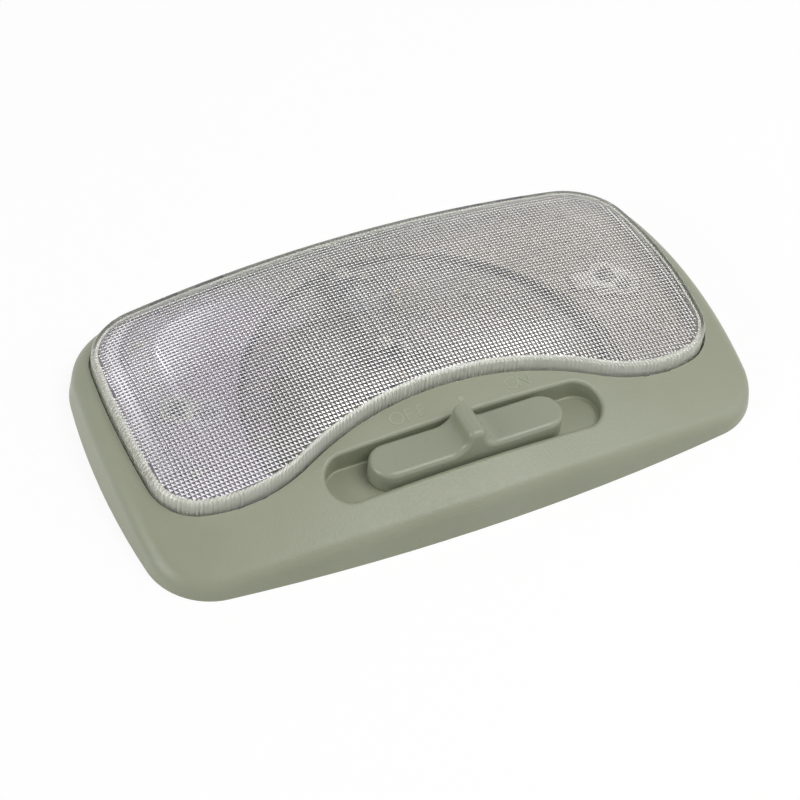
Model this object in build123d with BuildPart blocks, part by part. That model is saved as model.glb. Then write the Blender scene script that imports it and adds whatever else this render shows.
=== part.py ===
import os
from math import asin, cos, degrees, hypot, radians, sin, sqrt, tan

from build123d import *

os.makedirs("parts", exist_ok=True)

# A car dome light lying on the rim that meets the roof lining: lens up, switch at the front (-Y).
# All sizes are in millimetres. Z is zero at the rim, X and Y are zero at the middle of the bezel.

# Bezel: a bowed rectangle in plan with a crowned face
bezel_length = 159.6
bezel_depth = 89.8
bezel_front_bow = 574.0
bezel_side_bow = 196.0
bezel_side_middle = -6.1
bezel_front_corner = 16.0
bezel_rear_corner = 20.0
bezel_draft = 8.0
bezel_top = 18.2
bezel_crown_x = 395.0
bezel_crown_y = 122.0
bezel_edge = 4.5
bezel_wall = 2.0
crown_middle = 3.9
crown_reach = 0.6
crown_thickness = 40.0

# Lens: straight rear edge, two lobes at the front and a wave between them
lens_side_margin = 6.5
lens_rear_margin = 5.5
lens_rear_bow = 1500.0
lens_side_bow = 170.0
lens_side_middle = 2.5
lens_front_corner = 13.0
lens_rear_corner = 15.0
lobe_margin = 19.2
lobe_inset = 20.5
lobe_radius = 37.0
wave_depth = 11.5
lens_top = 21.7
lens_crown_x = 374.0
lens_crown_y = 139.0
lens_draft = 1.0
lens_edge = 1.4
lens_wall = 1.8

# Seat of the lens in the bezel, and the hooks that hold it there
lens_gap = 0.3
seat_depth = 3.0
seat_thickness = 1.4
collar_wall = 1.6
hook_width = 7.0
hook_root = 1.5
hook_barb = 0.7
hook_drop = 1.2
hook_gap = 0.2
seat_gap = 0.1
inner_hook_inset = 38.3
outer_hook_inset = 26.3

# Switch trough and its slide knob
trough_length = 70.6
trough_width = 11.4
trough_margin = 16.6
trough_floor = 8.5
trough_wall = 1.8
trough_rim = 0.9
trough_root = 0.5
knob_length = 49.4
knob_side_gap = 0.6
knob_top = 14.4
knob_edge = 1.3
knob_travel = 10.0
slide_gap = 0.2
ridge_width = 4.4
ridge_height = 5.7
ridge_round = 1.6
stem_length = 6.0
stem_width = 3.0
stem_gap = 0.3
stem_slot = 1.6
stem_barb = 0.5
stem_barb_height = 0.8

# Base plate, held between ribs above and lugs below
plate_bottom = 0.8
plate_thickness = 1.6
plate_gap = 0.3
rib_width = 1.6
rib_reach = 3.0
rib_end_spread = 20.0
rib_inset = 25.8
lug_width = 7.0
lug_reach = 1.2
lug_height = 0.6
screw_inset = 16.3
screw_from_rear = 34.5
screw_hole = 4.6
boss_diameter = 9.0
post_diameter = 5.0
peg_diameter = 2.2
peg_height = 1.0
post_rear_inset = 15.3
post_from_rear = 11.5
post_front_inset = 13.3
post_from_lobe = 11.6
part_fit = 0.15

# Reflector: a pressed sheet with a half-round dish about the bulb
sheet = 0.8
sheet_gap = 0.5
dish_radius = 46.0
dish_drop = 0.9
dish_margin = 2.5
dish_depth = 2.6
dish_slope = 35.0
dish_clearance = 0.8

# Festoon bulb lying along Y
bulb_x = -5.0
bulb_from_dish = 29.0
bulb_length = 31.0
bulb_radius = 5.0
bulb_neck = 3.2
bulb_shoulder = 3.0
glass_wall = 0.6
cap_radius = 3.75
cap_length = 5.0
cap_tip = 1.4
cap_overlap = 1.6
cap_tip_radius = 1.2
bulb_clearance = 0.8
filament_radius = 0.3
filament_coil = 0.7
filament_coil_length = 12.0

# Stamped strips, clips and rivets
bus_thickness = 0.6
bus_width = 3.0
bus_bend = 2.0
clip_thickness = 0.5
clip_width = 3.6
clip_wrap = 40.0
clip_flare = 1.8
clip_window = 0.9
clip_fit = 0.1
clip_flare_angle = 62.0
rivet_shank = 1.0
rivet_head = 1.8
rivet_head_height = 0.6
contact_pitch = 10.0
contact_row_spread = 8.0
rail_overrun = 3.0
earth_row_gap = 8.7
door_row_gap = 14.2
door_inset = 11.0
lamp_column = -18.0
earth_inset = 9.0
strap_width = 5.0
ring_hole = 5.2
ring_lift = 0.4
strap_window = 0.6
bend = 0.8

# Carrier and wiper under the trough floor
carrier_length = 12.0
carrier_width = 9.0
carrier_thickness = 1.8
carrier_corner = 0.9
wiper_thickness = 0.4
wiper_length = 9.0
wiper_width = 5.4
wiper_arm = 2.6
wiper_curl = 1.0
wiper_lift = 0.6
contact_gap = 0.15

# Connector socket at the back
riser_gap = 3.2
socket_wide = 6.0
socket_long = 16.4
socket_wall = 1.2
socket_mouth = 0.4
socket_top = 5.2
socket_flange = 1.2
socket_flange_thickness = 1.0
blade_spread = 12.4
blade_end = 1.4
blade_lift = 0.3

# Heights that follow from the sizes above
plate_top = plate_bottom + plate_thickness
bus_top = plate_top + bus_thickness
dish_floor = bus_top + dish_clearance + sheet
sheet_top = dish_floor + dish_depth
bulb_z = dish_floor + bulb_clearance + bulb_radius
trough_bottom = trough_floor - trough_wall
knob_bottom = trough_floor + slide_gap
carrier_top = trough_bottom - slide_gap
carrier_bottom = carrier_top - carrier_thickness
wiper_bottom = carrier_bottom - wiper_thickness
boss_top = sheet_top + ring_lift
stem_bottom = wiper_bottom - part_fit - stem_barb_height

# Places that follow from the sizes above
lens_length = bezel_length - 2 * lens_side_margin
lens_end = lens_length / 2
lens_rear = bezel_depth / 2 - lens_rear_margin
lobe_front = lobe_margin - bezel_depth / 2
lobe_x = lens_end - lobe_inset
wave_front = lobe_front + wave_depth
wave_radius = (lobe_x**2 + wave_depth**2) / (2 * wave_depth) - lobe_radius
trough_middle = trough_margin - bezel_depth / 2
rib_side_spread = bezel_length / 2 - rib_inset
screw_x = lens_end - screw_inset
screw_row = lens_rear - screw_from_rear
dish_middle = wave_front - dish_drop
bulb_y = dish_middle + bulb_from_dish
earth_row = trough_middle + earth_row_gap
door_row = trough_middle + door_row_gap
earth_column = screw_x - earth_inset
pad_row = trough_middle + contact_row_spread / 2
rail_row = trough_middle - contact_row_spread / 2
knob_width = trough_width - 2 * knob_side_gap
glass_end = bulb_length / 2 - cap_length
clip_offset = glass_end + clip_width / 2
clip_reach = cap_radius + clip_fit + clip_thickness / 2
rear_clip_y = bulb_y + clip_offset
front_clip_y = bulb_y - clip_offset
socket_y = rear_clip_y - blade_spread / 2
door_blade_y = socket_y - blade_spread / 2
dish_side = sqrt((dish_radius + sheet) ** 2 - (door_blade_y - dish_middle) ** 2)
riser_x = dish_side + riser_gap
door_column = riser_x - door_inset
socket_left = riser_x + bus_thickness
socket_x = socket_left + socket_flange + socket_wall + socket_wide / 2


def arcs_meet(centre_a, radius_a, centre_b, radius_b, side):
    """The point where two circles cross, on the left (+1) or right (-1) of the line from a to b."""
    across = (centre_b[0] - centre_a[0], centre_b[1] - centre_a[1])
    apart = hypot(*across)
    along = (radius_a**2 - radius_b**2 + apart**2) / (2 * apart)
    away = side * sqrt(radius_a**2 - along**2)
    unit = (across[0] / apart, across[1] / apart)
    return (
        centre_a[0] + unit[0] * along - unit[1] * away,
        centre_a[1] + unit[1] * along + unit[0] * away,
    )


def crown_height(top, radius_x, radius_y, x, y):
    """Height of a crown at one place in plan."""
    across = radius_y - sqrt(radius_y**2 - (y - crown_middle) ** 2)
    return top - radius_x + sqrt((radius_x - across) ** 2 - x**2)


def bezel_height(x, y):
    """Height of the bezel's crowned face at one place in plan."""
    return crown_height(bezel_top, bezel_crown_x, bezel_crown_y, x, y)


def crown_block(top, radius_x, radius_y):
    """A thick block whose upper face is curved gently both ways, highest at crown_middle."""
    half_depth = crown_reach * bezel_depth
    half_turn = asin(crown_reach * bezel_length / (radius_x - crown_thickness))
    axis_height = top - radius_x
    start = Plane((0, 0, axis_height), x_dir=(0, 1, 0), z_dir=(cos(half_turn), 0, sin(half_turn)))
    front = crown_height(0, radius_x, radius_y, 0, -half_depth) + radius_x
    rear = crown_height(0, radius_x, radius_y, 0, half_depth) + radius_x
    bottom = radius_x - crown_thickness
    with BuildPart() as block:
        with BuildSketch(start):
            with BuildLine():
                ThreePointArc((-half_depth, front), (crown_middle, radius_x), (half_depth, rear))
                Polyline(
                    (half_depth, rear),
                    (half_depth, bottom),
                    (-half_depth, bottom),
                    (-half_depth, front),
                )
            make_face()
        revolve(axis=Axis((0, 0, axis_height), (0, 1, 0)), revolution_arc=degrees(2 * half_turn))
    return block.part


def bezel_outline(inset):
    """Four shallow arcs with rounded corners, set in from the bezel's rim by an even amount."""
    half_length = bezel_length / 2 - inset
    half_depth = bezel_depth / 2 - inset
    bow = bezel_front_bow - inset
    side_bow = bezel_side_bow - inset
    side_centre = (bezel_length / 2 - bezel_side_bow, bezel_side_middle)
    front = arcs_meet((0, bezel_front_bow - bezel_depth / 2), bow, side_centre, side_bow, 1)
    rear = arcs_meet((0, bezel_depth / 2 - bezel_front_bow), bow, side_centre, side_bow, -1)
    with BuildSketch() as plan:
        with BuildLine():
            ThreePointArc((-front[0], front[1]), (0, -half_depth), front)
            ThreePointArc(front, (half_length, bezel_side_middle), rear)
            ThreePointArc(rear, (0, half_depth), (-rear[0], rear[1]))
            ThreePointArc((-rear[0], rear[1]), (-half_length, bezel_side_middle), (-front[0], front[1]))
        make_face()
        fillet(plan.vertices().sort_by(Axis.Y)[:2], radius=bezel_front_corner - inset)
        fillet(plan.vertices().sort_by(Axis.Y)[-2:], radius=bezel_rear_corner - inset)
    return plan.sketch


def lens_outline(inset):
    """Wave and lobes in tangent arcs at the front, shallow arcs at the ends and the rear, set in evenly."""
    wave_centre = (0, wave_front - wave_radius)
    lobe_centre = (lobe_x, lobe_front + lobe_radius)
    share = (wave_radius + inset) / (wave_radius + lobe_radius)
    turn = (lobe_x * share, wave_centre[1] + (lobe_centre[1] - wave_centre[1]) * share)
    side_centre = (lens_length / 2 - lens_side_bow, lens_side_middle)
    side_bow = lens_side_bow - inset
    rear_centre = (0, lens_rear - lens_rear_bow)
    front = arcs_meet(lobe_centre, lobe_radius - inset, side_centre, side_bow, 1)
    rear = arcs_meet(rear_centre, lens_rear_bow - inset, side_centre, side_bow, -1)
    half_length = lens_length / 2 - inset
    with BuildSketch() as plan:
        with BuildLine():
            ThreePointArc((-turn[0], turn[1]), (0, wave_front + inset), turn)
            ThreePointArc(turn, (lobe_x, lobe_front + inset), front)
            ThreePointArc(front, (half_length, lens_side_middle), rear)
            ThreePointArc(rear, (0, lens_rear - inset), (-rear[0], rear[1]))
            ThreePointArc((-rear[0], rear[1]), (-half_length, lens_side_middle), (-front[0], front[1]))
            ThreePointArc((-front[0], front[1]), (-lobe_x, lobe_front + inset), (-turn[0], turn[1]))
        make_face()
        corners = plan.vertices().filter_by(lambda corner: abs(corner.X) > lobe_x)
        fillet(corners.sort_by(Axis.Y)[:2], radius=lens_front_corner - inset)
        fillet(plan.vertices().sort_by(Axis.Y)[-2:], radius=lens_rear_corner - inset)
    return plan.sketch


def bezel_form(inset, drop, edge):
    """The bezel's outer shape, or the same shape set in on all sides for its hollow."""
    plan = bezel_outline(inset)
    crown = crown_block(bezel_top - drop, bezel_crown_x, bezel_crown_y)
    with BuildPart() as form:
        with BuildSketch():
            add(plan)
        extrude(amount=bezel_top, taper=bezel_draft)
        add(crown, mode=Mode.INTERSECT)
        fillet(form.faces().sort_by(Axis.Z)[-1].edges(), radius=edge)
    return form.part


def lens_form(inset, edge):
    """The lens as a solid, or the same shape set in on all sides for its hollow."""
    foot_plan = lens_outline(inset)
    head_plan = lens_outline(inset + lens_top * tan(radians(lens_draft)))
    crown = crown_block(lens_top - inset, lens_crown_x, lens_crown_y)
    with BuildPart() as form:
        with BuildSketch():
            add(foot_plan)
        with BuildSketch(Plane.XY.offset(lens_top)):
            add(head_plan)
        loft(ruled=True)
        add(crown, mode=Mode.INTERSECT)
        if edge:
            fillet(form.faces().sort_by(Axis.Z)[-1].edges(), radius=edge)
    return form.part


def strip_plan(points, width, turn):
    """A flat strip of even width along a bent line, with rounded ends."""
    with BuildSketch() as plan:
        with BuildLine():
            if len(points) > 2:
                FilletPolyline(*points, radius=turn)
            else:
                Polyline(*points)
            offset(amount=width / 2)
        make_face()
    return plan.sketch


def on_trough_rim(edge):
    """True for the edges where the trough's inner wall meets the crowned face."""
    box = edge.bounding_box()
    across = max(abs(box.min.Y - trough_middle), abs(box.max.Y - trough_middle))
    inside = across < (trough_width + trough_wall) / 2
    return inside and box.min.Z > trough_floor + trough_rim and box.size.X > trough_rim


def on_trough_root(edge):
    """True for the edges where the trough's inner wall meets its floor."""
    box = edge.bounding_box()
    level = abs(box.min.Z - trough_floor) < trough_root and box.size.Z < trough_root
    return level and box.size.X > trough_root


opening_plan = lens_outline(-lens_gap)
collar_plan = lens_outline(-lens_gap - collar_wall)
seat_plan = lens_outline(lens_wall)
bezel_skin = bezel_form(0, 0, bezel_edge)

# The switch trough is sunk into the crowned face, with its root and rim rounded
with BuildPart() as face:
    add(bezel_skin)
    with BuildSketch(Plane((0, trough_middle, trough_floor))):
        SlotOverall(trough_length, trough_width)
    extrude(amount=bezel_top, mode=Mode.SUBTRACT)
    fillet(face.edges().filter_by(on_trough_root), radius=trough_root)
    fillet(face.edges().filter_by(on_trough_rim), radius=trough_rim)

bezel_hollow = bezel_form(bezel_wall, bezel_wall, bezel_edge - bezel_wall)
seat_level = crown_block(bezel_top - seat_depth, bezel_crown_x, bezel_crown_y)
collar_level = crown_block(bezel_top - seat_depth - seat_thickness, bezel_crown_x, bezel_crown_y)

# Each hook is a place on the lens edge and the way it points: rear hooks to +Y, lobe hooks to -Y
hooks = []
for side in (-1, 1):
    for hook_x in (lens_end - inner_hook_inset, lens_end - outer_hook_inset):
        rear_edge = lens_rear - lens_rear_bow + sqrt(lens_rear_bow**2 - hook_x**2)
        hooks.append((side * hook_x, rear_edge, 1))
    hooks.append((side * lobe_x, lobe_front, -1))

with BuildPart() as collar:
    with BuildSketch(Plane.XY.offset(plate_top + plate_gap)):
        add(collar_plan)
    extrude(amount=bezel_top)
    add(bezel_skin, mode=Mode.INTERSECT)
    add(collar_level, mode=Mode.SUBTRACT)

with BuildPart() as opening:
    with BuildSketch():
        add(opening_plan)
    extrude(amount=bezel_top)
    add(seat_level, mode=Mode.SUBTRACT)
    with BuildSketch():
        add(seat_plan)
    extrude(amount=bezel_top)
    for hook_x, hook_y, way in hooks:
        with BuildSketch(Plane((hook_x, hook_y - way * lens_wall / 2, 0))):
            Rectangle(hook_width + 2 * hook_gap, lens_wall + 2 * lens_gap)
        extrude(amount=bezel_top)

rib_plan = bezel_outline(bezel_wall + rib_reach)
lug_plan = bezel_outline(bezel_wall + lug_reach)

with BuildPart() as ribs:
    with BuildSketch(Plane.XY.offset(plate_top)):
        with Locations((-rib_side_spread, 0), (rib_side_spread, 0)):
            Rectangle(rib_width, bezel_depth)
        with Locations((0, -rib_end_spread), (0, rib_end_spread)):
            Rectangle(bezel_length, rib_width)
    extrude(amount=bezel_top)
    with BuildSketch():
        add(rib_plan)
    extrude(amount=bezel_top, mode=Mode.SUBTRACT)
    add(bezel_skin, mode=Mode.INTERSECT)

with BuildPart() as lugs:
    with BuildSketch(Plane.XY.offset(plate_bottom - lug_height)):
        with Locations((-rib_side_spread, 0), (rib_side_spread, 0)):
            Rectangle(lug_width, bezel_depth)
        with Locations((0, -rib_end_spread), (0, rib_end_spread)):
            Rectangle(bezel_length, lug_width)
    extrude(amount=lug_height)
    with BuildSketch():
        add(lug_plan)
    extrude(amount=bezel_top, mode=Mode.SUBTRACT)
    add(bezel_skin, mode=Mode.INTERSECT)

# The hollow leaves the trough's walls and floor standing
with BuildPart() as hollow:
    add(bezel_hollow)
    with BuildSketch(Plane((0, trough_middle, trough_bottom))):
        SlotOverall(trough_length + 2 * trough_wall, trough_width + 2 * trough_wall)
    extrude(amount=bezel_top, mode=Mode.SUBTRACT)

# Bezel: crowned shell with a lens collar and seat, and a trough with a slit for the knob's stem
slit_length = stem_length + 2 * (knob_travel + stem_gap)
with BuildPart() as bezel:
    add(face.part)
    add(hollow.part, mode=Mode.SUBTRACT)
    add(collar.part)
    add(ribs.part)
    add(lugs.part)
    add(opening.part, mode=Mode.SUBTRACT)
    with BuildSketch(Plane((0, trough_middle, 0))):
        Rectangle(slit_length, stem_width + 2 * stem_gap)
    extrude(amount=bezel_top, mode=Mode.SUBTRACT)
bezel.part.label = "bezel"
export_step(bezel.part, "parts/bezel.step")

# Lens: crowned shell whose lower edge follows the seat, with hooks that pass through the seat
lens_skin = lens_form(0, lens_edge)
lens_hollow = lens_form(lens_wall, 0)
lens_foot = crown_block(bezel_top - seat_depth + seat_gap, bezel_crown_x, bezel_crown_y)
with BuildPart() as lens:
    add(lens_skin)
    add(lens_hollow, mode=Mode.SUBTRACT)
    add(lens_foot, mode=Mode.SUBTRACT)
    for hook_x, hook_y, way in hooks:
        inner = hook_y - way * lens_wall
        tip = hook_y + way * (lens_gap + hook_barb)
        root = bezel_height(hook_x, hook_y) - seat_depth + hook_root
        under = bezel_height(abs(hook_x) + hook_width / 2, tip) - seat_depth - seat_thickness - hook_gap
        with BuildSketch(Plane((hook_x - hook_width / 2, 0, 0), x_dir=(0, 1, 0), z_dir=(1, 0, 0))):
            with BuildLine():
                Polyline(
                    (inner, root),
                    (hook_y, root),
                    (hook_y, under),
                    (tip, under),
                    (hook_y, under - hook_drop),
                    (inner, under - hook_drop),
                    close=True,
                )
            make_face()
        extrude(amount=hook_width)
lens.part.label = "lens"
export_step(lens.part, "parts/lens.step")

# Switch knob: bar with a thumb ridge swept up from it, and a split stem that snaps under the wiper
ridge_sweep = ridge_height - ridge_round
ridge_side = ridge_width / 2
ridge_foot = ridge_side + ridge_sweep
ridge_shoulder = knob_top + ridge_sweep
knob_end = knob_length / 2


def on_knob_top(edge):
    """True for the edges around the knob's upper side, ridge and all."""
    box = edge.bounding_box()
    return box.max.Z > knob_top - knob_edge / 2 and box.size.X + box.size.Z > knob_edge / 2


with BuildPart() as switch_knob:
    with BuildSketch(Plane((0, trough_middle, 0), x_dir=(1, 0, 0), z_dir=(0, -1, 0))):
        with BuildLine():
            CenterArc((-ridge_foot, ridge_shoulder), ridge_sweep, -90, 90)
            CenterArc((ridge_round - ridge_side, ridge_shoulder), ridge_round, 90, 90)
            CenterArc((ridge_side - ridge_round, ridge_shoulder), ridge_round, 0, 90)
            CenterArc((ridge_foot, ridge_shoulder), ridge_sweep, 180, 90)
            Line(
                (ridge_round - ridge_side, knob_top + ridge_height),
                (ridge_side - ridge_round, knob_top + ridge_height),
            )
            Polyline(
                (-ridge_foot, knob_top),
                (-knob_end, knob_top),
                (-knob_end, knob_bottom),
                (knob_end, knob_bottom),
                (knob_end, knob_top),
                (ridge_foot, knob_top),
            )
        make_face()
    extrude(amount=knob_width / 2, both=True)
    with BuildSketch(Plane((0, trough_middle, knob_bottom))):
        SlotOverall(knob_length, knob_width)
    extrude(amount=bezel_top, mode=Mode.INTERSECT)
    fillet(switch_knob.edges().filter_by(on_knob_top), radius=knob_edge)
    with BuildSketch(Plane((0, trough_middle, 0), x_dir=(1, 0, 0), z_dir=(0, -1, 0))):
        with BuildLine():
            half = stem_length / 2
            barb_top = stem_bottom + stem_barb_height
            Polyline(
                (-half, knob_bottom),
                (-half, barb_top),
                (-half - stem_barb, barb_top),
                (-half, stem_bottom),
                (half, stem_bottom),
                (half + stem_barb, barb_top),
                (half, barb_top),
                (half, knob_bottom),
                close=True,
            )
        make_face()
        with Locations((0, (stem_bottom + carrier_top) / 2)):
            Rectangle(stem_slot, carrier_top - stem_bottom, mode=Mode.SUBTRACT)
    extrude(amount=stem_width / 2, both=True)
switch_knob.part.label = "switch_knob"
export_step(switch_knob.part, "parts/switch_knob.step")

# Contact carrier: moulded block that the stem draws along under the trough floor
with BuildPart() as contact_carrier:
    with BuildSketch(Plane((0, trough_middle, carrier_bottom))):
        RectangleRounded(carrier_length, carrier_width, carrier_corner)
        Rectangle(stem_length + 2 * part_fit, stem_width + 2 * part_fit, mode=Mode.SUBTRACT)
    extrude(amount=carrier_thickness)
contact_carrier.part.label = "contact_carrier"
export_step(contact_carrier.part, "parts/contact_carrier.step")

# Wiper contact: plate under the carrier with two sprung arms, one on the rail and one on the pads
with BuildPart() as wiper_contact:
    with BuildSketch(Plane((0, trough_middle, wiper_bottom))):
        Rectangle(wiper_length, wiper_width)
        Rectangle(stem_length + 2 * part_fit, stem_width + 2 * part_fit, mode=Mode.SUBTRACT)
    extrude(amount=wiper_thickness)
    for way in (-1, 1):
        with BuildSketch(Plane((-wiper_arm / 2, trough_middle, 0), x_dir=(0, 1, 0), z_dir=(1, 0, 0))):
            with BuildLine():
                plate_mid = wiper_bottom + wiper_thickness / 2
                touch = bus_top + contact_gap + wiper_thickness / 2
                row = contact_row_spread / 2
                Polyline(
                    (way * (wiper_width / 2 - wiper_thickness), plate_mid),
                    (way * wiper_width / 2, plate_mid),
                    (way * row, touch),
                    (way * (row + wiper_curl), touch + wiper_lift),
                )
                offset(amount=wiper_thickness / 2)
            make_face()
        extrude(amount=wiper_arm)
wiper_contact.part.label = "wiper_contact"
export_step(wiper_contact.part, "parts/wiper_contact.step")

# Stamped strips lie flat on the base plate
lamp_plan = strip_plan(
    [
        (contact_pitch + rail_overrun, rail_row),
        (lamp_column, rail_row),
        (lamp_column, front_clip_y),
        (bulb_x, front_clip_y),
    ],
    bus_width,
    bus_bend,
)
door_plan = strip_plan(
    [
        (0, pad_row),
        (0, door_row),
        (door_column, door_row),
        (door_column, door_blade_y),
        (riser_x - bus_width, door_blade_y),
    ],
    bus_width,
    bus_bend,
)
feed_plan = strip_plan([(bulb_x, rear_clip_y), (riser_x - bus_width, rear_clip_y)], bus_width, bus_bend)
earth_plan = strip_plan(
    [
        (contact_pitch, pad_row),
        (contact_pitch, earth_row),
        (earth_column - bus_width, earth_row),
        (earth_column - bus_width, screw_row),
    ],
    bus_width,
    bus_bend,
)
lamp_rivet = (lamp_column, (rail_row + front_clip_y) / 2)
door_rivet = (door_column, (door_row + door_blade_y) / 2)
earth_rivet = ((contact_pitch + earth_column) / 2, earth_row)
feed_rivet = ((bulb_x + riser_x) / 2, rear_clip_y)
bus_rivet_places = [lamp_rivet, door_rivet, earth_rivet, feed_rivet]
clip_rivet_places = [(bulb_x, front_clip_y), (bulb_x, rear_clip_y)]
bus_middle = plate_top + bus_thickness / 2


def bent_strip(points, row):
    """A strip seen from the front, bent along a line of points in X and Z, about a row in Y."""
    with BuildPart() as strip:
        with BuildSketch(Plane((0, row, 0), x_dir=(1, 0, 0), z_dir=(0, -1, 0))):
            with BuildLine():
                FilletPolyline(*points, radius=bend)
                offset(amount=bus_thickness / 2)
            make_face()
        extrude(amount=bus_width / 2, both=True)
    return strip.part


def socket_blade(row):
    """The end of a strip that climbs over the socket and turns down into it as a blade."""
    roof = socket_top + blade_lift + bus_thickness / 2
    return bent_strip(
        [
            (riser_x - bus_width, bus_middle),
            (riser_x, bus_middle),
            (riser_x, roof),
            (socket_x, roof),
            (socket_x, blade_end),
        ],
        row,
    )


def flat_bus(plan, rivet_places):
    """A strip cut from sheet, with rivet holes."""
    with BuildPart() as bus:
        with BuildSketch(Plane.XY.offset(plate_top)):
            add(plan)
            with Locations(*rivet_places):
                Circle(rivet_shank + part_fit, mode=Mode.SUBTRACT)
        extrude(amount=bus_thickness)
    return bus.part


lamp_strip = flat_bus(lamp_plan, [lamp_rivet, clip_rivet_places[0]])
with BuildPart() as lamp_bus:
    add(lamp_strip)
lamp_bus.part.label = "lamp_bus"
export_step(lamp_bus.part, "parts/lamp_bus.step")

door_strip = flat_bus(door_plan, [door_rivet])
door_blade = socket_blade(door_blade_y)
with BuildPart() as door_bus:
    add(door_strip)
    add(door_blade)
door_bus.part.label = "door_bus"
export_step(door_bus.part, "parts/door_bus.step")

feed_strip = flat_bus(feed_plan, [feed_rivet, clip_rivet_places[1]])
feed_blade = socket_blade(rear_clip_y)
with BuildPart() as feed_bus:
    add(feed_strip)
    add(feed_blade)
feed_bus.part.label = "feed_bus"
export_step(feed_bus.part, "parts/feed_bus.step")

# Earth strap: climbs through the reflector to a ring under the head of the right-hand screw
earth_strip = flat_bus(earth_plan, [earth_rivet])
ring_middle = boss_top + bus_thickness / 2
with BuildPart() as earth_strap:
    add(earth_strip)
    with BuildSketch(Plane((0, screw_row, 0), x_dir=(1, 0, 0), z_dir=(0, -1, 0))):
        with BuildLine():
            FilletPolyline(
                (earth_column - bus_width, bus_middle),
                (earth_column, bus_middle),
                (earth_column, ring_middle),
                (screw_x, ring_middle),
                radius=bend,
            )
            offset(amount=bus_thickness / 2)
        make_face()
    extrude(amount=strap_width / 2, both=True)
    with BuildSketch(Plane((screw_x, screw_row, boss_top))):
        Circle(boss_diameter / 2)
    extrude(amount=bus_thickness)
    with Locations((screw_x, screw_row, boss_top + bus_thickness)):
        Hole(ring_hole / 2, depth=2 * bus_thickness)
earth_strap.part.label = "earth_strap"
export_step(earth_strap.part, "parts/earth_strap.step")


def rivets(places, seat):
    """Headed rivets from a seat down through the base plate, set over below it."""
    with BuildPart() as group:
        with Locations(*[(x, y, 0) for x, y in places]):
            with Locations((0, 0, seat)):
                Cylinder(rivet_head, rivet_head_height, align=(Align.CENTER, Align.CENTER, Align.MIN))
            with Locations((0, 0, plate_bottom)):
                Cylinder(rivet_shank, seat - plate_bottom, align=(Align.CENTER, Align.CENTER, Align.MIN))
                Cylinder(rivet_head, rivet_head_height, align=(Align.CENTER, Align.CENTER, Align.MAX))
    return group.part


bus_rivets = rivets(bus_rivet_places, bus_top)
bus_rivets.label = "bus_rivets"
export_step(bus_rivets, "parts/bus_rivets.step")
clip_rivets = rivets(clip_rivet_places, bus_top + clip_thickness)
clip_rivets.label = "clip_rivets"
export_step(clip_rivets, "parts/clip_rivets.step")

# Bulb clips: sprung U shapes whose arms wrap the bulb's caps
for clip_name, clip_y in (("bulb_clip_front", front_clip_y), ("bulb_clip_rear", rear_clip_y)):
    with BuildPart() as clip:
        with BuildSketch(Plane((bulb_x, clip_y, 0), x_dir=(1, 0, 0), z_dir=(0, -1, 0))):
            with BuildLine():
                base = bus_top + clip_thickness / 2
                Polyline((0, base), (clip_reach, base), (clip_reach, bulb_z))
                wrap = JernArc((clip_reach, bulb_z), (0, 1), clip_reach, clip_wrap)
                PolarLine(wrap @ 1, clip_flare, clip_flare_angle)
                mirror(about=Plane.YZ)
                offset(amount=clip_thickness / 2)
            make_face()
        extrude(amount=clip_width / 2, both=True)
        with Locations((bulb_x, clip_y, bus_top + clip_thickness)):
            Hole(rivet_shank + part_fit, depth=2 * clip_thickness)
    clip.part.label = clip_name
    export_step(clip.part, f"parts/{clip_name}.step")

# Festoon bulb: blown glass between two caps, on an axis along Y
bulb_plane = Plane((bulb_x, bulb_y, bulb_z), x_dir=(0, 1, 0), z_dir=(1, 0, 0))
bulb_axis = Axis((bulb_x, bulb_y, bulb_z), (0, 1, 0))
neck_end = glass_end + cap_overlap
shoulder_end = glass_end - bulb_shoulder


def glass_profile(wall):
    """Half section of the bulb's glass, or of the space inside it."""
    end = neck_end - wall
    with BuildSketch() as half:
        with BuildLine():
            Polyline(
                (shoulder_end, bulb_radius - wall),
                (0, bulb_radius - wall),
                (0, 0),
                (end, 0),
                (end, bulb_neck - wall),
                (glass_end, bulb_neck - wall),
            )
            Spline(
                (glass_end, bulb_neck - wall),
                (shoulder_end, bulb_radius - wall),
                tangents=[(-1, 0), (-1, 0)],
            )
        make_face()
        mirror(about=Plane.YZ)
    return half.sketch


glass_outside = glass_profile(0)
glass_inside = glass_profile(glass_wall)
with BuildPart() as bulb_glass:
    with BuildSketch(bulb_plane):
        add(glass_outside)
        add(glass_inside, mode=Mode.SUBTRACT)
    revolve(axis=bulb_axis)
bulb_glass.part.label = "bulb_glass"
export_step(bulb_glass.part, "parts/bulb_glass.step")

cap_start = glass_end + part_fit
for cap_name, way in (("bulb_cap_front", -1), ("bulb_cap_rear", 1)):
    with BuildPart() as cap:
        with BuildSketch(bulb_plane):
            with BuildLine():
                Polyline(
                    (way * (neck_end + part_fit), 0),
                    (way * (neck_end + part_fit), bulb_neck + part_fit),
                    (way * cap_start, bulb_neck + part_fit),
                    (way * cap_start, cap_radius),
                    (way * (bulb_length / 2 - cap_tip), cap_radius),
                    (way * bulb_length / 2, cap_tip_radius),
                    (way * bulb_length / 2, 0),
                    close=True,
                )
            make_face()
        revolve(axis=bulb_axis)
    cap.part.label = cap_name
    export_step(cap.part, f"parts/{cap_name}.step")

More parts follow.
